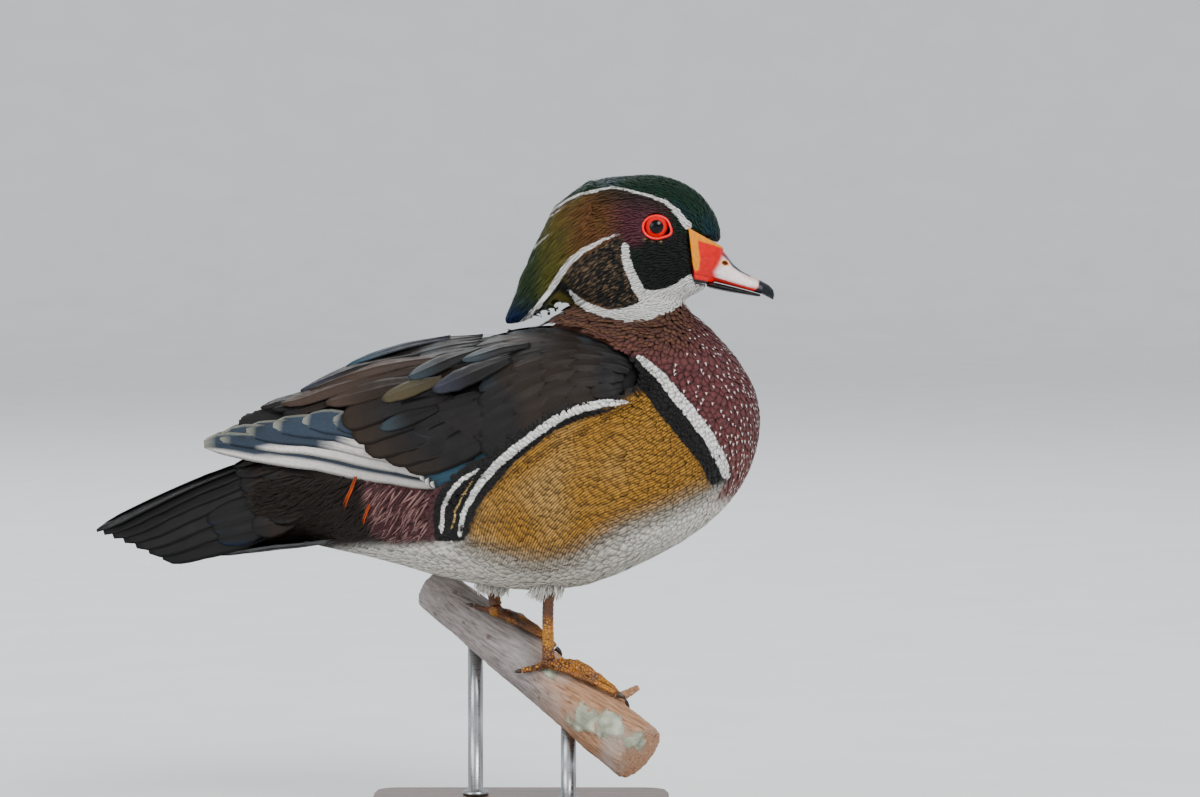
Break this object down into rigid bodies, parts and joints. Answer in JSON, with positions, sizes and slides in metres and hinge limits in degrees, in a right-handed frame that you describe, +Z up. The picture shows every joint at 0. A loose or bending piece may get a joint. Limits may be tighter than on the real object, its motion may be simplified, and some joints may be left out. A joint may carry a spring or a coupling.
{
  "type": "wood duck model",
  "caption": "Life-size still model of a drake wood duck with folded wings and swept crest, gripping a short cut branch held over a flat display base by short rods.",
  "frame": {"origin": "centre of the display base's flat underside", "axes": "+X the way the bird faces, +Y its left side, +Z up"},
  "size_m": [0.3515, 0.1354, 0.3408],
  "materials": {
    "body_plumage": "chestnut breast, golden vermiculated flanks and white belly, soft feathers",
    "neck_plumage": "chestnut brown feathers with fine buff bars",
    "head_plumage": "glossy green and purple crest feathers with white stripes",
    "bill": "satin horn, red with yellow edge, pale side and black nail",
    "bill_black": "satin dark horn",
    "eye": "wet red iris with a round black pupil",
    "wing_feathers": "black wing feathers with a blue and bronze sheen",
    "tail_feathers": "long black tail feathers with a blue sheen",
    "leg_skin": "yellow-orange scaly skin with dark webs",
    "claw": "dark horn",
    "bark": "rough bark with pale lichen",
    "stand_wood": "dark stained wood, satin",
    "stand_metal": "brushed rod"
  },
  "bodies": {
    "root": {"torso": "body_plumage", "neck": "neck_plumage", "head": "head_plumage", "crest": "head_plumage", "bill_upper": "bill", "bill_lower": "bill_black", "eye_left": "eye", "eye_right": "eye", "wing_left": "wing_feathers", "wing_right": "wing_feathers", "tail": "tail_feathers", "leg_left": "leg_skin", "leg_right": "leg_skin", "foot_left": "leg_skin", "foot_right": "leg_skin", "perch_branch": "bark", "stand_base": "stand_wood", "stand_rod_front": "stand_metal", "stand_rod_back": "stand_metal", "claw_left_inner": "claw", "claw_left_middle": "claw", "claw_left_outer": "claw", "claw_left_hind": "claw", "claw_right_inner": "claw", "claw_right_middle": "claw", "claw_right_outer": "claw", "claw_right_hind": "claw"}
  },
  "joints": []
}
